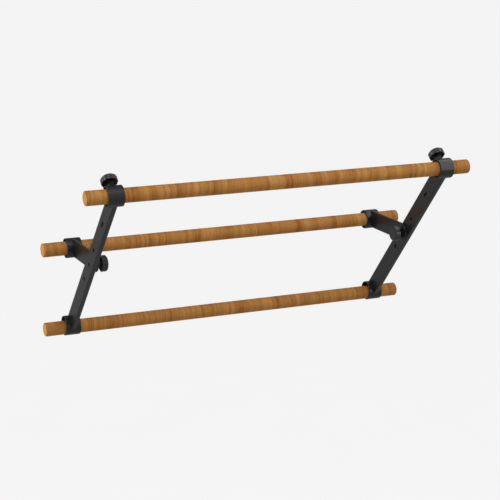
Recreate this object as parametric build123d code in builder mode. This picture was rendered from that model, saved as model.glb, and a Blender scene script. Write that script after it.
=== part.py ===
"""Wall pull-up bar: three wooden bars carried by two mirrored steel brackets.

Frame: X runs along the bars, Y points back towards the wall, Z is up.
The origin is the middle of the bottom bar's axis.  All lengths are millimetres.

Each bracket is a long leaning arm with a collar welded to each end, and a
level short arm with its own collar, bolted to the long arm with a knob.
The two rear bars stand one above the other in one upright plane.
"""

import os
from math import cos, radians, sin

from build123d import *

# ---------------------------------------------------------------- bars
BAR_LENGTH = 1000.0
BAR_RADIUS = 17.5
BAR_EDGE = 3.0
SEAT_DEPTH = 0.3         # shallow seats turned on the rear bars under their collars

# ---------------------------------------------------------------- bracket layout
ARM_X = 430.0            # middle of each long arm, either side of centre
ARM_SPAN = 540.0         # top collar axis to bottom collar axis
ARM_LEAN = 42.0          # degrees the long arm leans away from upright
MIDDLE_Z = 205.5         # middle bar axis above the bottom bar axis

# ---------------------------------------------------------------- steel
ARM_WIDTH = 43.0
ARM_THICKNESS = 12.0
ARM_EDGE = 2.0
COLLAR_RADIUS = 25.0
COLLAR_WALL = 3.0
COLLAR_LENGTH = 38.0
COLLAR_EDGE = 0.8
PLATE_WIDTH = 45.0
PLATE_THICKNESS = 6.0
PLATE_EDGE = 1.0
PLATE_RISE = 2.0         # short arm centreline above the middle bar axis
SIDE_GAP = 0.2           # air between the short arm and the long arm

# ---------------------------------------------------------------- holes and screws
THREAD_RADIUS = 5.0      # M10
THREAD_PLAY = 0.05
SLOT_STEP = 108.0        # down the long arm from the top axis
SLOT_LENGTH = 20.0
SLOT_WIDTH = 8.0
HOLE_STEPS = (212.0, 272.0, 332.0)
PIVOT_STEP = HOLE_STEPS[1]
HOLE_MOUTH = 0.4
PLATE_HOLE_PLAY = 0.3
PIVOT_ENGAGEMENT = 9.3   # how far the pivot screw reaches into the long arm
WASHER_RADIUS = 10.0
WASHER_THICKNESS = 2.0
SET_RADIUS = 3.0         # M6 set screws
SET_SOCKET = 1.6         # half the width across flats of their sockets

# ---------------------------------------------------------------- knobs
KNOB_RADIUS = 20.0
KNOB_HEIGHT = 15.0
KNOB_LOBES = 10
KNOB_FLUTE_RADIUS = 2.6
KNOB_FLUTE_DEPTH = 1.3
KNOB_CHAMFER = 3.2
KNOB_RIDGE = 0.7
KNOB_WALL = 3.2
KNOB_RECESS = 9.0
RIB_THICKNESS = 1.6      # radial ribs in the hollow underside, one to each lobe
RIB_SET_BACK = 1.0       # ribs stop this far inside the rim
HUB_RADIUS = 7.5
CLAMP_HUB = 1.0
CLAMP_KNOB_SEAT = 38.0   # underside of the clamp knob's head from the bar axis
PIVOT_KNOB_GAP = 11.0    # underside of the pivot knob's head from the short arm

# ---------------------------------------------------------------- clamp stack
NUT_ACROSS_FLATS = 17.0
NUT_TOP = 31.5
PAD_RADIUS = 4.7         # slimmer than the screw, so it can draw back through the hole
PAD_GAP = 0.3            # air between the pad and the wood at rest
PAD_THICKNESS = 3.4
SPIGOT_RADIUS = 2.5      # turned on the screw's tip, and captive in the pad
SPIGOT_LENGTH = 2.0
SPIGOT_PLAY = 0.1
TIP_GAP = 0.05           # end play between the screw and the pad
SCREW_HOLE_PLAY = 0.4

# ---------------------------------------------------------------- liners
LINER_LENGTH = 30.0
LINER_PLAY = 0.05        # top bar turns in its liners

# ---------------------------------------------------------------- derived
LEAN = radians(ARM_LEAN)
BORE_RADIUS = COLLAR_RADIUS - COLLAR_WALL
SEAT_RADIUS = BAR_RADIUS - SEAT_DEPTH
ARM_DOWN = Vector(0, sin(LEAN), -cos(LEAN))
ARM_NORMAL = Vector(0, cos(LEAN), sin(LEAN))
BOTTOM_COLLAR_Z = BORE_RADIUS - SEAT_RADIUS      # the bar lies on the bore's floor
TOP_Y = -ARM_SPAN * sin(LEAN)
TOP_Z = BOTTOM_COLLAR_Z + ARM_SPAN * cos(LEAN)
PIVOT_Y = TOP_Y + PIVOT_STEP * sin(LEAN)
PIVOT_Z = TOP_Z - PIVOT_STEP * cos(LEAN)
PLATE_Z = MIDDLE_Z + PLATE_RISE
PLATE_OUTER_X = ARM_X - ARM_THICKNESS / 2 - SIDE_GAP
PLATE_X = PLATE_OUTER_X - PLATE_THICKNESS / 2
PLATE_INNER_X = PLATE_OUTER_X - PLATE_THICKNESS
SET_X = ARM_X + ARM_THICKNESS / 2 + 7.0
SIDES = {"left": -1, "right": 1}


def along_x(x):
    """Upright plane across the bars at x; its own axes are Y and Z."""
    return Plane(origin=(x, 0, 0), x_dir=(0, 1, 0), z_dir=(1, 0, 0))


def arm_plane(x):
    """Plane of a long arm at x; its first axis runs down the arm."""
    return Plane(origin=(x, TOP_Y, TOP_Z), x_dir=ARM_DOWN, z_dir=(1, 0, 0))


def clamp_plane(x, distance):
    """Plane square to the clamp screw, at a distance from the top bar's axis."""
    return Plane(
        origin=Vector(x, TOP_Y, TOP_Z) + ARM_NORMAL * distance,
        x_dir=(1, 0, 0),
        z_dir=ARM_NORMAL,
    )


def pivot_plane(side, distance):
    """Plane square to the pivot screw; distance runs inwards from the short arm."""
    return Plane(
        origin=(side * (PLATE_INNER_X - distance), PIVOT_Y, PIVOT_Z),
        x_dir=(0, 1, 0),
        z_dir=(-side, 0, 0),
    )


def save(part, name):
    part.label = name
    export_step(part, f"parts/{name}.step")


# ---------------------------------------------------------------- the three bars
def make_bar(y, z):
    with BuildPart() as bar:
        with BuildSketch(along_x(-BAR_LENGTH / 2)):
            with Locations((y, z)):
                Circle(BAR_RADIUS)
        extrude(amount=BAR_LENGTH)
        fillet(bar.edges().filter_by(GeomType.CIRCLE), BAR_EDGE)
    return bar.part


def make_seated_bar(y, z, seat_x):
    """A bar with a shallow seat turned under the collar at each side."""
    with BuildPart() as bar:
        add(make_bar(y, z))
        for side in SIDES.values():
            with BuildSketch(along_x(side * seat_x)):
                with Locations((y, z)):
                    Circle(BAR_RADIUS + 1)
                    Circle(SEAT_RADIUS, mode=Mode.SUBTRACT)
            extrude(amount=COLLAR_LENGTH / 2, both=True, mode=Mode.SUBTRACT)
    return bar.part


# ---------------------------------------------------------------- long arm
def make_long_arm(side):
    with BuildPart() as arm:
        with BuildSketch(arm_plane(side * ARM_X)):
            with Locations((ARM_SPAN / 2, 0)):
                Rectangle(ARM_SPAN, ARM_WIDTH)
        extrude(amount=ARM_THICKNESS / 2, both=True)
        fillet(arm.edges().filter_by(Axis((0, 0, 0), ARM_DOWN)), ARM_EDGE)
        # the ends are coped to sit on the round collars
        with BuildSketch(arm_plane(side * ARM_X)):
            with Locations((0, 0), (ARM_SPAN, 0)):
                Circle(COLLAR_RADIUS)
        extrude(amount=ARM_THICKNESS, both=True, mode=Mode.SUBTRACT)
        # a row of tapped holes for the pivot screw, and a short slot above them
        with BuildSketch(arm_plane(side * ARM_X)):
            with Locations(*[(step, 0) for step in HOLE_STEPS]):
                Circle(THREAD_RADIUS + THREAD_PLAY)
        extrude(amount=ARM_THICKNESS, both=True, mode=Mode.SUBTRACT)
        mouths = arm.edges().filter_by(GeomType.CIRCLE).filter_by(
            lambda edge: edge.radius < 2 * THREAD_RADIUS
        )
        chamfer(mouths, HOLE_MOUTH)
        with BuildSketch(arm_plane(side * ARM_X)):
            with Locations((SLOT_STEP, 0)):
                SlotOverall(SLOT_LENGTH, SLOT_WIDTH)
        extrude(amount=ARM_THICKNESS, both=True, mode=Mode.SUBTRACT)
    return arm.part


# ---------------------------------------------------------------- collars
def make_collar(x, y, z):
    with BuildPart() as collar:
        with BuildSketch(along_x(x)):
            with Locations((y, z)):
                Circle(COLLAR_RADIUS)
                Circle(BORE_RADIUS, mode=Mode.SUBTRACT)
        extrude(amount=COLLAR_LENGTH / 2, both=True)
        fillet(collar.edges().filter_by(GeomType.CIRCLE), COLLAR_EDGE)
    return collar.part


def make_top_collar(side):
    with BuildPart() as collar:
        add(make_collar(side * ARM_X, TOP_Y, TOP_Z))
        with BuildSketch(clamp_plane(side * ARM_X, 0)):
            Circle(THREAD_RADIUS + SCREW_HOLE_PLAY)
        extrude(amount=2 * COLLAR_RADIUS, mode=Mode.SUBTRACT)
    return collar.part


def make_middle_collar(side):
    with BuildPart() as collar:
        add(make_collar(side * PLATE_X, 0, MIDDLE_Z))
        with BuildSketch(Plane.XZ):
            with Locations((side * PLATE_X, MIDDLE_Z)):
                Circle(SET_RADIUS)
        extrude(amount=-2 * COLLAR_RADIUS, mode=Mode.SUBTRACT)
    return collar.part


def make_bottom_collar(side):
    with BuildPart() as collar:
        add(make_collar(side * ARM_X, 0, BOTTOM_COLLAR_Z))
        with BuildSketch(Plane.XY.offset(BOTTOM_COLLAR_Z)):
            with Locations((side * SET_X, 0)):
                Circle(SET_RADIUS)
        extrude(amount=2 * COLLAR_RADIUS, mode=Mode.SUBTRACT)
    return collar.part


# ---------------------------------------------------------------- short arm
def make_short_arm(side):
    with BuildPart() as plate:
        with BuildSketch(along_x(side * PLATE_X)):
            with Locations((PIVOT_Y / 2, PLATE_Z)):
                Rectangle(-PIVOT_Y, PLATE_WIDTH)
            with Locations((PIVOT_Y, PLATE_Z)):
                Circle(PLATE_WIDTH / 2)
        extrude(amount=PLATE_THICKNESS / 2, both=True)
        rims = plate.faces().filter_by(Axis.X).edges()
        fillet(rims, PLATE_EDGE)
        # the rear end is coped to sit on the middle collar
        with BuildSketch(along_x(side * PLATE_X)):
            with Locations((0, MIDDLE_Z)):
                Circle(COLLAR_RADIUS)
        extrude(amount=PLATE_THICKNESS, both=True, mode=Mode.SUBTRACT)
        # clearance hole for the pivot screw
        with BuildSketch(along_x(side * PLATE_X)):
            with Locations((PIVOT_Y, PIVOT_Z)):
                Circle(THREAD_RADIUS + PLATE_HOLE_PLAY)
        extrude(amount=PLATE_THICKNESS, both=True, mode=Mode.SUBTRACT)
    return plate.part


# ---------------------------------------------------------------- liners
def make_top_liner(side):
    with BuildPart() as liner:
        with BuildSketch(along_x(side * ARM_X)):
            with Locations((TOP_Y, TOP_Z)):
                Circle(BORE_RADIUS)
                Circle(BAR_RADIUS + LINER_PLAY, mode=Mode.SUBTRACT)
        extrude(amount=LINER_LENGTH / 2, both=True)
        with BuildSketch(clamp_plane(side * ARM_X, 0)):
            Circle(THREAD_RADIUS + SCREW_HOLE_PLAY)
        extrude(amount=2 * COLLAR_RADIUS, mode=Mode.SUBTRACT)
    return liner.part


def make_middle_liner(side):
    with BuildPart() as liner:
        with BuildSketch(along_x(side * PLATE_X)):
            with Locations((0, MIDDLE_Z)):
                Circle(BORE_RADIUS)
                Circle(SEAT_RADIUS, mode=Mode.SUBTRACT)
        extrude(amount=LINER_LENGTH / 2, both=True)
        with BuildSketch(Plane.XZ):
            with Locations((side * PLATE_X, MIDDLE_Z)):
                Circle(SET_RADIUS)
        extrude(amount=-2 * COLLAR_RADIUS, mode=Mode.SUBTRACT)
    return liner.part


# ---------------------------------------------------------------- set screws
def make_set_screw(plane, length):
    """A socket set screw starting at the plane and ending at its driving end."""
    with BuildPart() as screw:
        with BuildSketch(plane):
            Circle(SET_RADIUS)
        extrude(amount=length)
        chamfer(screw.edges().filter_by(GeomType.CIRCLE), 0.5)
        with BuildSketch(plane.offset(length)):
            RegularPolygon(SET_SOCKET, 6, major_radius=False)
        extrude(amount=-length / 2, mode=Mode.SUBTRACT)
    return screw.part


# ---------------------------------------------------------------- knobs
def make_knob(plane, hub_length):
    """A lobed knob; the plane is the underside of its head, facing outwards."""
    with BuildPart() as knob:
        with BuildSketch(plane):
            Circle(KNOB_RADIUS)
        extrude(amount=KNOB_HEIGHT)
        chamfer(knob.faces().sort_by(Axis((0, 0, 0), plane.z_dir))[-1].edges(), KNOB_CHAMFER)
        with BuildSketch(plane):
            with PolarLocations(KNOB_RADIUS + KNOB_FLUTE_RADIUS - KNOB_FLUTE_DEPTH, KNOB_LOBES):
                Circle(KNOB_FLUTE_RADIUS)
        extrude(amount=KNOB_HEIGHT, mode=Mode.SUBTRACT)
        ridges = knob.edges().filter_by(Axis((0, 0, 0), plane.z_dir)).filter_by(GeomType.LINE)
        fillet(ridges, KNOB_RIDGE)
        # the underside is hollow around the hub, with a rib to each lobe
        inner_radius = KNOB_RADIUS - KNOB_WALL
        with BuildSketch(plane):
            Circle(inner_radius)
            Circle(HUB_RADIUS, mode=Mode.SUBTRACT)
        extrude(amount=KNOB_RECESS, mode=Mode.SUBTRACT)
        with BuildSketch(plane.offset(RIB_SET_BACK)):
            with PolarLocations((HUB_RADIUS + inner_radius) / 2, KNOB_LOBES):
                Rectangle(inner_radius - HUB_RADIUS + RIB_THICKNESS / 2, RIB_THICKNESS)
        extrude(amount=KNOB_RECESS - RIB_SET_BACK)
        with BuildSketch(plane):
            Circle(HUB_RADIUS)
        extrude(amount=-hub_length)
        # moulded-in screw
        with BuildSketch(plane.offset(-hub_length)):
            Circle(THREAD_RADIUS)
        extrude(amount=hub_length + KNOB_RECESS, mode=Mode.SUBTRACT)
    return knob.part


def make_clamp_screw(side):
    start = BAR_RADIUS + PAD_GAP + PAD_THICKNESS + TIP_GAP
    with BuildPart() as screw:
        with BuildSketch(clamp_plane(side * ARM_X, start)):
            Circle(THREAD_RADIUS)
        extrude(amount=CLAMP_KNOB_SEAT + KNOB_RECESS - start)
        with BuildSketch(clamp_plane(side * ARM_X, start)):
            Circle(SPIGOT_RADIUS)
        extrude(amount=-SPIGOT_LENGTH)
    return screw.part


def make_clamp_pad(side):
    back = clamp_plane(side * ARM_X, BAR_RADIUS + PAD_GAP + PAD_THICKNESS)
    with BuildPart() as pad:
        with BuildSketch(back):
            Circle(PAD_RADIUS)
        extrude(amount=-PAD_THICKNESS)
        chamfer(pad.edges().filter_by(GeomType.CIRCLE), 0.4)
        # blind socket for the screw's spigot
        with BuildSketch(back):
            Circle(SPIGOT_RADIUS + SPIGOT_PLAY)
        extrude(amount=-SPIGOT_LENGTH, mode=Mode.SUBTRACT)
    return pad.part


def make_clamp_nut(side):
    with BuildPart() as nut:
        with BuildSketch(clamp_plane(side * ARM_X, COLLAR_RADIUS - 2)):
            RegularPolygon(NUT_ACROSS_FLATS / 2, 6, major_radius=False)
            Circle(THREAD_RADIUS + THREAD_PLAY, mode=Mode.SUBTRACT)
        extrude(amount=NUT_TOP - COLLAR_RADIUS + 2)
        # the foot is shaped to the collar it is welded on
        with BuildSketch(along_x(side * ARM_X)):
            with Locations((TOP_Y, TOP_Z)):
                Circle(COLLAR_RADIUS)
        extrude(amount=COLLAR_LENGTH, both=True, mode=Mode.SUBTRACT)
    return nut.part


def make_pivot_screw(side):
    reach = PLATE_THICKNESS + SIDE_GAP + PIVOT_ENGAGEMENT
    with BuildPart() as screw:
        with BuildSketch(pivot_plane(side, -reach)):
            Circle(THREAD_RADIUS)
        extrude(amount=reach + PIVOT_KNOB_GAP + KNOB_RECESS)
        tip = screw.faces().sort_by(Axis((0, 0, 0), (-side, 0, 0)))[0]
        chamfer(tip.edges(), 0.8)
    return screw.part


def make_pivot_washer(side):
    with BuildPart() as washer:
        with BuildSketch(pivot_plane(side, 0)):
            Circle(WASHER_RADIUS)
            Circle(THREAD_RADIUS + THREAD_PLAY, mode=Mode.SUBTRACT)
        extrude(amount=WASHER_THICKNESS)
    return washer.part


# ---------------------------------------------------------------- build everything
os.makedirs("parts", exist_ok=True)

save(make_bar(TOP_Y, TOP_Z), "top_bar")
save(make_seated_bar(0, MIDDLE_Z, PLATE_X), "middle_bar")
save(make_seated_bar(0, 0, ARM_X), "bottom_bar")

for hand, side in SIDES.items():
    save(make_long_arm(side), f"{hand}_long_arm")
    save(make_top_collar(side), f"{hand}_top_collar")
    save(make_bottom_collar(side), f"{hand}_bottom_collar")
    save(make_middle_collar(side), f"{hand}_middle_collar")
    save(make_short_arm(side), f"{hand}_short_arm")
    save(make_top_liner(side), f"{hand}_top_liner")
    save(make_middle_liner(side), f"{hand}_middle_liner")

    save(make_clamp_nut(side), f"{hand}_clamp_nut")
    save(make_clamp_screw(side), f"{hand}_clamp_screw")
    save(make_clamp_pad(side), f"{hand}_clamp_pad")
    save(make_knob(clamp_plane(side * ARM_X, CLAMP_KNOB_SEAT), CLAMP_HUB), f"{hand}_clamp_knob")

    save(make_pivot_screw(side), f"{hand}_pivot_screw")
    save(make_pivot_washer(side), f"{hand}_pivot_washer")
    pivot_hub = PIVOT_KNOB_GAP - WASHER_THICKNESS
    save(make_knob(pivot_plane(side, PIVOT_KNOB_GAP), pivot_hub), f"{hand}_pivot_knob")

    # the middle bar is locked from behind, the bottom bar from above
    behind = Plane(
        origin=(side * PLATE_X, SEAT_RADIUS, MIDDLE_Z),
        x_dir=(1, 0, 0),
        z_dir=(0, 1, 0),
    )
    save(make_set_screw(behind, COLLAR_RADIUS - SEAT_RADIUS - 0.3), f"{hand}_middle_set_screw")
    above = Plane(
        origin=(side * SET_X, 0, SEAT_RADIUS),
        x_dir=(1, 0, 0),
        z_dir=(0, 0, 1),
    )
    drop = BOTTOM_COLLAR_Z + COLLAR_RADIUS - SEAT_RADIUS
    save(make_set_screw(above, drop - 0.3), f"{hand}_bottom_set_screw")
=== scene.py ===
"""The looks of the wall pull-up bar: three wooden bars held by two folding pairs of
powder-coated steel arms, with moulded knobs that clamp and pin them."""
from math import radians

import bpy
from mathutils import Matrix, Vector


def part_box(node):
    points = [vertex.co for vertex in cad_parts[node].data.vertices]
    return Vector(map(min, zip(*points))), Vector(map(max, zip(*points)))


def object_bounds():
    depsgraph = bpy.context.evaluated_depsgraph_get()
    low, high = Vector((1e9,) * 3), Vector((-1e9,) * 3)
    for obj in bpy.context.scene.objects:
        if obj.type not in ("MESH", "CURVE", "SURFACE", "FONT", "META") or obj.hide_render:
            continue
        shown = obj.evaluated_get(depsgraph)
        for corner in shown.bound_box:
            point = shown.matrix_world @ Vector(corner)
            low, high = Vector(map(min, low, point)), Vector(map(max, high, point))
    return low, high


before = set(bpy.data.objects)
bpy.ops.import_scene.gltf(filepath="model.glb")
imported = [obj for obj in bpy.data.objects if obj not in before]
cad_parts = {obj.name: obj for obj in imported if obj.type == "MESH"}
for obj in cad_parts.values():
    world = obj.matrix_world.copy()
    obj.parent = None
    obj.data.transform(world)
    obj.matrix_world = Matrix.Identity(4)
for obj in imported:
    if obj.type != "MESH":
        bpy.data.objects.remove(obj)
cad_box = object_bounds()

SCENE = bpy.context.scene

# wood: linear colours, and how often the growth rings cross a bar
WOOD_LIGHT = (0.650, 0.308, 0.088, 1)
WOOD_BROWN = (0.550, 0.240, 0.058, 1)
WOOD_GOLD = (0.615, 0.322, 0.066, 1)
WOOD_RING = (0.330, 0.100, 0.008, 1)
WOOD_PORE = (0.160, 0.055, 0.010, 1)
SAWN_LIGHT = (0.840, 0.440, 0.140, 1)
SAWN_DARK = (0.640, 0.300, 0.080, 1)
RINGS_PER_METRE = 42.0
# how far, in rings, their spacing drifts, and over how many cycles of noise per metre
RING_DRIFT = 2.6
DRIFT_SCALE = 42.0
# how strongly a ring darkens the wood
RING_DEPTH = 0.40
# metres that a ring wanders on its way round the bar, in short and in long waves
RING_SWAY = 0.007
RING_SLOW_SWAY = 0.020
# rings on the sawn ends, as the scale of a wave texture
SAWN_RINGS = 72
# dark bands along a bar: cycles of noise per metre, and how strongly each darkens it
BANDS = ((150.0, 1.4), (85.0, 1.05), (40.0, 0.3), (25.0, 2.1))
# cycles of noise per metre along a bar and across it
FIBRE_SCALE = (22, 900, 900)
PORE_SCALE = (70, 1600, 1600)
# the middle of the tree lies outside the bar: metres below and in front of its axis
PITH_BELOW = 0.012
PITH_FRONT = 0.031
# metres that slide each bar's grain along it, so that no two bars look alike
BAR_SHIFTS = {"top_bar": 1.37, "middle_bar": 4.91, "bottom_bar": 8.23}


# ---------------------------------------------------------------- node trees

def new_material(name):
    """An empty material and its tree, with the shader already joined to the output."""
    material = bpy.data.materials.new(name)
    material.use_nodes = True
    tree = material.node_tree
    tree.nodes.clear()
    output = tree.nodes.new("ShaderNodeOutputMaterial")
    shader = tree.nodes.new("ShaderNodeBsdfPrincipled")
    tree.links.new(shader.outputs[0], output.inputs[0])
    return material, tree, shader


def feed(tree, socket, value):
    """Puts a number, a colour or another node's output into a socket."""
    if isinstance(value, bpy.types.NodeSocket):
        tree.links.new(value, socket)
    else:
        socket.default_value = value


def add(tree, kind, inputs=(), **settings):
    """One shader node, with its settings and its inputs by name or number."""
    node = tree.nodes.new("ShaderNode" + kind)
    for key, value in settings.items():
        setattr(node, key, value)
    for key, value in dict(inputs).items():
        feed(tree, node.inputs[key], value)
    return node


def math(tree, operation, *values):
    return add(tree, "Math", enumerate(values), operation=operation).outputs[0]


def ramp(tree, value, low, high, to_low=0.0, to_high=1.0, smooth=True):
    """value between low and high, carried to to_low and to_high."""
    node = add(tree, "MapRange", {
        "Value": value, "From Min": low, "From Max": high, "To Min": to_low, "To Max": to_high,
    }, interpolation_type="SMOOTHSTEP" if smooth else "LINEAR")
    return node.outputs["Result"]


def mix(tree, factor, first, second):
    """The first colour at factor 0, the second at factor 1."""
    node = add(tree, "Mix", data_type="RGBA")
    feed(tree, node.inputs[0], factor)
    feed(tree, node.inputs[6], first)
    feed(tree, node.inputs[7], second)
    return node.outputs[2]


def noise(tree, vector, scale, detail, roughness=0.5):
    """Noise from 0 to 1 with scale cycles for each unit of vector."""
    return add(tree, "TexNoise", {
        "Vector": vector, "Scale": scale, "Detail": detail, "Roughness": roughness,
    }).outputs[0]


def line_noise(tree, position, scale):
    """Noise along one direction only."""
    return add(tree, "TexNoise", {"W": position, "Scale": scale, "Detail": 1},
               noise_dimensions="1D").outputs[0]


def bump(tree, height, distance, strength):
    """A normal bent by height, where a height of 1 stands distance metres proud."""
    inputs = {"Height": height, "Distance": distance, "Strength": strength}
    return add(tree, "Bump", inputs).outputs[0]


def place(tree, offset=(0, 0, 0)):
    """The object's own metres, moved by offset."""
    own = add(tree, "TexCoord").outputs["Object"]
    return add(tree, "VectorMath", {0: own, 1: offset}, operation="ADD").outputs[0]


def stretch(tree, vector, scale):
    return add(tree, "VectorMath", {0: vector, 1: scale}, operation="MULTIPLY").outputs[0]


# ----------------------------------------------------------------- materials

def edge_wear(tree, radius, low, high):
    """1 where the surface turns within radius, such as along an edge."""
    rounded = add(tree, "Bevel", {"Radius": radius}, samples=6).outputs[0]
    plain = add(tree, "NewGeometry").outputs["Normal"]
    agree = add(tree, "VectorMath", {0: rounded, 1: plain}, operation="DOT_PRODUCT").outputs["Value"]
    return ramp(tree, agree, high, low, 0.0, 1.0)


def wood(name, axis, shift):
    """A lacquered hardwood bar: growth rings run across it and fine fibres along it."""
    material, tree, shader = new_material(name)
    own = place(tree, (shift, -axis.y, -axis.z))
    along = add(tree, "SeparateXYZ", {0: own}).outputs[0]

    sway = math(tree, "MULTIPLY", math(tree, "SUBTRACT", noise(tree, own, 34, 2), 0.5), RING_SWAY)
    slow = math(tree, "MULTIPLY", math(tree, "SUBTRACT", noise(tree, own, 9, 1), 0.5), RING_SLOW_SWAY)
    band = math(tree, "ADD", math(tree, "ADD", along, sway), slow)

    # late wood darkens towards the next ring, then drops back sharply
    drift = math(tree, "MULTIPLY", line_noise(tree, band, DRIFT_SCALE), RING_DRIFT)
    phase = math(tree, "ADD", math(tree, "MULTIPLY", band, RINGS_PER_METRE), drift)
    saw = math(tree, "FRACT", phase)
    ring = math(tree, "MULTIPLY", ramp(tree, saw, 0.40, 0.88), ramp(tree, saw, 1.0, 0.93))
    each = add(tree, "TexWhiteNoise", {"W": math(tree, "FLOOR", phase)},
               noise_dimensions="1D").outputs["Value"]
    ring = math(tree, "MULTIPLY", ring, ramp(tree, each, 0.0, 1.0, 0.12, 1.0, smooth=False))
    dark = math(tree, "MULTIPLY", ring, RING_DEPTH)
    for scale, weight in BANDS:
        part = math(tree, "SUBTRACT", line_noise(tree, band, scale), 0.5)
        dark = math(tree, "ADD", dark, math(tree, "MULTIPLY", part, weight))
    # the bands fade and deepen on their way round the bar
    dark = math(tree, "MULTIPLY", dark, ramp(tree, noise(tree, own, 40, 1), 0.32, 0.68, 0.50, 1.40))
    cloud = noise(tree, own, 22, 3, 0.55)
    tint = noise(tree, own, 26, 1)

    fibre = noise(tree, stretch(tree, own, FIBRE_SCALE), 1.0, 3, 0.6)
    pores = ramp(tree, noise(tree, stretch(tree, own, PORE_SCALE), 1.0, 1), 0.66, 0.74)

    colour = mix(tree, ramp(tree, cloud, 0.30, 0.70, 0.35, 0.65), WOOD_LIGHT, WOOD_BROWN)
    colour = mix(tree, ramp(tree, tint, 0.35, 0.65, 0.0, 0.60), colour, WOOD_GOLD)
    colour = mix(tree, ramp(tree, dark, -0.55, 0.85, 0.0, 0.85, smooth=False), colour, WOOD_RING)
    colour = mix(tree, ramp(tree, fibre, 0.38, 0.76, 0.0, 0.16), colour, WOOD_RING)
    colour = mix(tree, math(tree, "MULTIPLY", pores, 0.30), colour, WOOD_PORE)

    # the sawn ends show the rings end on
    facing = add(tree, "SeparateXYZ", {0: add(tree, "TexCoord").outputs["Normal"]}).outputs[0]
    end = ramp(tree, math(tree, "ABSOLUTE", facing), 0.80, 0.97)
    pith = place(tree, (0, PITH_FRONT - axis.y, PITH_BELOW - axis.z))
    circles = add(tree, "TexWave", {
        "Vector": pith, "Scale": SAWN_RINGS, "Distortion": 1.6, "Detail": 2.0, "Detail Scale": 2.2,
    }, wave_type="RINGS", rings_direction="X").outputs[1]
    sawn = mix(tree, ramp(tree, circles, 0.15, 0.95), SAWN_LIGHT, SAWN_DARK)
    grit = noise(tree, own, 1400, 2)
    sawn = mix(tree, ramp(tree, grit, 0.50, 0.78, 0.0, 0.25), sawn, WOOD_PORE)
    colour = mix(tree, end, colour, sawn)
    feed(tree, shader.inputs["Base Color"], colour)

    gloss = math(tree, "ADD", ramp(tree, fibre, 0.3, 0.7, 0.46, 0.58), math(tree, "MULTIPLY", ring, 0.06))
    gloss = math(tree, "ADD", gloss, math(tree, "MULTIPLY", end, 0.14))
    feed(tree, shader.inputs["Roughness"], gloss)
    shader.inputs["Specular IOR Level"].default_value = 0.14

    relief = math(tree, "SUBTRACT", math(tree, "MULTIPLY", fibre, 0.6), math(tree, "MULTIPLY", pores, 0.8))
    relief = math(tree, "SUBTRACT", relief, math(tree, "MULTIPLY", ring, 0.4))
    sawn_relief = math(tree, "MULTIPLY", math(tree, "MULTIPLY", circles, end), 0.8)
    feed(tree, shader.inputs["Normal"], bump(tree, math(tree, "ADD", relief, sawn_relief), 0.00010, 0.8))
    return material


def powder_coat(name, tone, shine):
    """Fine-textured powder coat on steel, rubbed a little along its edges.

    tone scales the coat's colours, and a tone below 1 paints shade into them; shine is how strongly it
    mirrors its surroundings."""
    material, tree, shader = new_material(name)

    def shade(red, green, blue):
        return (red * tone, green * tone, blue * tone, 1)

    own = place(tree)
    grain = noise(tree, own, 1500, 2, 0.6)
    peel = noise(tree, own, 420, 2, 0.5)
    cloud = noise(tree, own, 9, 3, 0.6)
    dull, fresh = shade(0.0095, 0.0095, 0.0100), shade(0.0140, 0.0140, 0.0145)
    colour = mix(tree, ramp(tree, cloud, 0.3, 0.7), dull, fresh)
    colour = mix(tree, ramp(tree, grain, 0.40, 0.70, 0.0, 0.40), colour, shade(0.029, 0.030, 0.032))
    colour = mix(tree, ramp(tree, grain, 0.42, 0.25, 0.0, 0.45), colour, shade(0.005, 0.005, 0.0055))
    rub = edge_wear(tree, 0.0011, 0.80, 0.985)
    patchy = ramp(tree, noise(tree, own, 130, 3, 0.7), 0.50, 0.68)
    rub = math(tree, "MULTIPLY", rub, math(tree, "ADD", math(tree, "MULTIPLY", patchy, 0.30), 0.04))
    colour = mix(tree, rub, colour, shade(0.11, 0.112, 0.115))
    feed(tree, shader.inputs["Base Color"], colour)
    rough = math(tree, "ADD", ramp(tree, grain, 0.3, 0.7, 0.27, 0.35), math(tree, "MULTIPLY", rub, -0.10))
    feed(tree, shader.inputs["Roughness"], rough)
    shader.inputs["Specular IOR Level"].default_value = shine
    height = math(tree, "ADD", math(tree, "MULTIPLY", grain, 0.55), peel)
    feed(tree, shader.inputs["Normal"], bump(tree, height, 0.00003, 0.5))
    return material


def moulded(name, low, high, rough, texture, depth):
    """Moulded plastic with a spark-eroded skin and paler, rubbed edges."""
    material, tree, shader = new_material(name)
    own = place(tree)
    skin = noise(tree, own, texture, 2, 0.6)
    cloud = noise(tree, own, 55, 3, 0.6)
    colour = mix(tree, ramp(tree, cloud, 0.32, 0.68), low, high)
    pale = tuple(min(1.0, c * 1.9 + 0.012) for c in high[:3]) + (1,)
    colour = mix(tree, ramp(tree, skin, 0.52, 0.78, 0.0, 0.30), colour, pale)
    rub = math(tree, "MULTIPLY", edge_wear(tree, 0.0006, 0.78, 0.98),
               ramp(tree, noise(tree, own, 260, 2), 0.42, 0.62, 0.10, 0.55))
    colour = mix(tree, rub, colour, pale)
    feed(tree, shader.inputs["Base Color"], colour)
    feed(tree, shader.inputs["Roughness"], ramp(tree, skin, 0.3, 0.7, rough - 0.05, rough + 0.07))
    feed(tree, shader.inputs["Normal"], bump(tree, skin, depth, 0.6))
    return material


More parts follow.
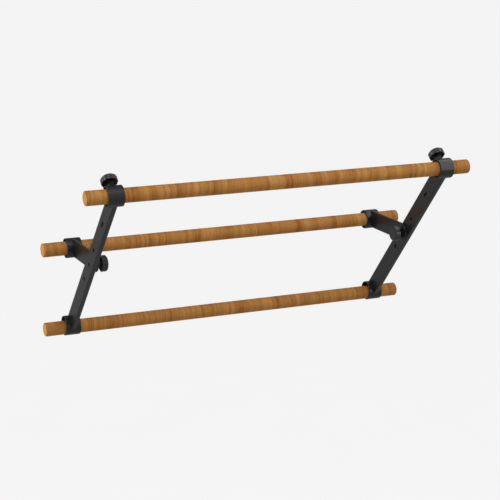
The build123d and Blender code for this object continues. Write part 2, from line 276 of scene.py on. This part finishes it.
def plated(name, low, high, metallic, rough):
    """Plated steel: a mottled passivation and fine scuffs."""
    material, tree, shader = new_material(name)
    own = place(tree)
    mottle = noise(tree, own, 210, 4, 0.65)
    scuff = noise(tree, own, 2600, 2, 0.5)
    colour = mix(tree, ramp(tree, mottle, 0.30, 0.70), low, high)
    dull = tuple(c * 0.45 for c in low[:3]) + (1,)
    colour = mix(tree, ramp(tree, scuff, 0.55, 0.75, 0.0, 0.35), colour, dull)
    feed(tree, shader.inputs["Base Color"], colour)
    shader.inputs["Metallic"].default_value = metallic
    feed(tree, shader.inputs["Roughness"], ramp(tree, mottle, 0.3, 0.7, rough - 0.06, rough + 0.10))
    feed(tree, shader.inputs["Normal"], bump(tree, scuff, 0.00002, 0.5))
    return material


def centre(node):
    low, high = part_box(node)
    return (low + high) / 2


looks = {
    "powder_coat": powder_coat("powder_coat_steel", 1.0, 0.44),
    "liner_plastic": moulded("liner_black", (0.010, 0.010, 0.010, 1), (0.018, 0.018, 0.019, 1),
                             0.55, 1800, 0.00003),
    "pad_plastic": moulded("pad_nylon", (0.56, 0.54, 0.48, 1), (0.68, 0.66, 0.60, 1),
                           0.48, 1500, 0.00002),
    "knob_plastic": moulded("knob_black", (0.016, 0.016, 0.017, 1), (0.026, 0.026, 0.028, 1),
                            0.26, 1600, 0.00001),
    "zinc": plated("black_zinc_plate", (0.050, 0.050, 0.053, 1), (0.095, 0.095, 0.095, 1), 1.0, 0.38),
    "black_oxide": plated("black_oxide_steel", (0.045, 0.045, 0.050, 1), (0.075, 0.075, 0.080, 1),
                          0.7, 0.42),
}
# the clamp nuts get a darker, duller copy of the coat: painted shade, standing in for the shade under the
# knobs
nut_painted_shade_look = powder_coat("powder_coat_nut_painted_shade", 0.45, 0.20)
for node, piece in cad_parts.items():
    slot = piece.material_slots[0]
    if node in BAR_SHIFTS:
        slot.material = wood(node + "_wood", centre(node), BAR_SHIFTS[node])
    # painted shade on the clamp nuts
    elif node.endswith("clamp_nut"):
        slot.material = nut_painted_shade_look
    else:
        slot.material = looks[slot.material.name]


# ------------------------------------------------------ floor, lights, camera

def stage_material(name, colour, glow):
    """A pale matt surface with a faint speckle, and a little glow of its own."""
    material, tree, shader = new_material(name)
    speckle = noise(tree, place(tree), 3.0, 3)
    tone = mix(tree, ramp(tree, speckle, 0.3, 0.7, 0.0, 0.02), colour, (0.7, 0.7, 0.7, 1))
    feed(tree, shader.inputs["Base Color"], tone)
    shader.inputs["Roughness"].default_value = 0.9
    shader.inputs["Specular IOR Level"].default_value = 0.0
    shader.inputs["Emission Color"].default_value = (1, 1, 1, 1)
    shader.inputs["Emission Strength"].default_value = glow
    return material


def stage_piece(name, corners, faces, look):
    """A floor or a backdrop that only the camera sees: it neither lights nor is mirrored."""
    mesh = bpy.data.meshes.new(name)
    mesh.from_pydata(corners, [], faces)
    mesh.materials.append(look)
    piece = bpy.data.objects.new(name, mesh)
    SCENE.collection.objects.link(piece)
    piece.visible_diffuse = False
    piece.visible_glossy = False
    return piece


# metres, except the tone and the glow
FLOOR_DROP = 1.9
FLOOR_HALF = 40.0
WALL_HEIGHT = 40.0
STAGE_TONE = (0.20, 0.20, 0.20, 1)
STAGE_GLOW = 0.818
floor_z = cad_box[0].z - FLOOR_DROP
# the floor's corners, in half widths
square = ((-1, -1), (1, -1), (1, 1), (-1, 1))
low_corners = [(x * FLOOR_HALF, y * FLOOR_HALF, floor_z) for x, y in square]
high_corners = [(x * FLOOR_HALF, y * FLOOR_HALF, floor_z + WALL_HEIGHT) for x, y in square]
pale = stage_material("stage_pale", STAGE_TONE, STAGE_GLOW)
stage_piece("floor", low_corners, [(0, 1, 2, 3)], pale)
wall_faces = [(k, k + 4, (k + 1) % 4 + 4, (k + 1) % 4) for k in range(4)]
walls = stage_piece("backdrop", low_corners + high_corners, wall_faces + [(7, 6, 5, 4)], pale)
walls.visible_shadow = False


def soft_box(name, position, target, width, height, watts):
    """A soft rectangular lamp at position, aimed at target."""
    data = bpy.data.lights.new(name, "AREA")
    data.shape = "RECTANGLE"
    data.size = width
    data.size_y = height
    data.energy = watts
    lamp = bpy.data.objects.new(name, data)
    SCENE.collection.objects.link(lamp)
    lamp.location = position
    aim = Vector(target) - Vector(position)
    lamp.rotation_euler = aim.to_track_quat("-Z", "Y").to_euler()
    lamp.visible_camera = False
    return lamp


# name, place and aim in metres from the middle of the object, width, height, watts, and the
# kind of light that it leaves out
LAMPS = (
    ("key_light", (0.2, -1.5, 2.6), (0, 0, 0), 1.6, 1.4, 28, "glossy"),
    ("key_sheen", (-0.5, -1.5, 2.6), (0, 0, 0), 1.6, 1.4, 13, "diffuse"),
    # two panels on the right, high up and low in front, with the level between them left clear
    ("sheen_high", (2.7, -1.7, 3.49), (0, -1.7, 3.49), 7.0, 2.22, 105.5, "diffuse"),
    ("sheen_low", (2.7, -3.61, 0.893), (0, -3.61, 0.893), 3.18, 2.98, 64.3, "diffuse"),
    # square to the sawn left ends of the bars
    ("end_light", (-4.0, 0.0, 0.3), (0, 0, 0), 1.2, 1.2, 50, "glossy"),
    # down the left side of the clamp knobs
    ("glint_light", (-3.43, 1.23, 1.65), (0, 0, 0), 2.4, 2.4, 52, "diffuse"),
)
middle = (cad_box[0] + cad_box[1]) / 2
for name, offset, aim, width, height, watts, left_out in LAMPS:
    lamp = soft_box(name, middle + Vector(offset), middle + Vector(aim), width, height, watts)
    setattr(lamp, "visible_" + left_out, False)

# the room's brightness low and high up, then the share of it that is left straight behind the
# object, and the share of that left high up there
ROOM_LOW = 0.42
ROOM_HIGH = 0.52
BACK_SHARE = 0.66
HIGH_BACK_SHARE = 0.35
world = bpy.data.worlds.new("studio")
SCENE.world = world
world.use_nodes = True
sky = world.node_tree
sky.nodes.clear()
studio = sky.nodes.new("ShaderNodeBackground")
sky.links.new(studio.outputs[0], sky.nodes.new("ShaderNodeOutputWorld").inputs[0])
direction = add(sky, "SeparateXYZ", {0: add(sky, "TexCoord").outputs["Generated"]}).outputs
back = ramp(sky, direction[1], 0.70, 0.95, 1.0, BACK_SHARE)
high = math(sky, "MULTIPLY", ramp(sky, direction[1], -0.3, 0.5), ramp(sky, direction[2], 0.08, 0.38))
high = math(sky, "MULTIPLY", high, ramp(sky, direction[0], 0.50, 0.34))
room = ramp(sky, direction[2], -0.3, 0.8, ROOM_LOW, ROOM_HIGH)
share = math(sky, "MULTIPLY", back, ramp(sky, high, 0.0, 1.0, 1.0, HIGH_BACK_SHARE))
brightness = math(sky, "MULTIPLY", room, share)
feed(sky, studio.inputs["Color"], mix(sky, brightness, (0, 0, 0, 1), (1, 1, 1, 1)))
studio.inputs["Strength"].default_value = 1.0

# fitted to the photo: place in metres, degrees down and to the right of +Y, and millimetres
CAMERA_PLACE = (-1.540348, -3.675972, 1.122994)
CAMERA_DOWN = 13.6038
CAMERA_RIGHT = 23.5918
CAMERA_LENS = 112.615
CAMERA_SENSOR = 36.0
camera_data = bpy.data.cameras.new("camera")
camera_data.sensor_width = CAMERA_SENSOR
camera_data.lens = CAMERA_LENS
camera_data.clip_start = 0.05
camera_data.clip_end = 200.0
camera = bpy.data.objects.new("camera", camera_data)
SCENE.collection.objects.link(camera)
camera.location = CAMERA_PLACE
camera.rotation_euler = (radians(90 - CAMERA_DOWN), 0, radians(-CAMERA_RIGHT))
SCENE.camera = camera

SCENE.view_settings.view_transform = "Standard"
SCENE.view_settings.look = "None"
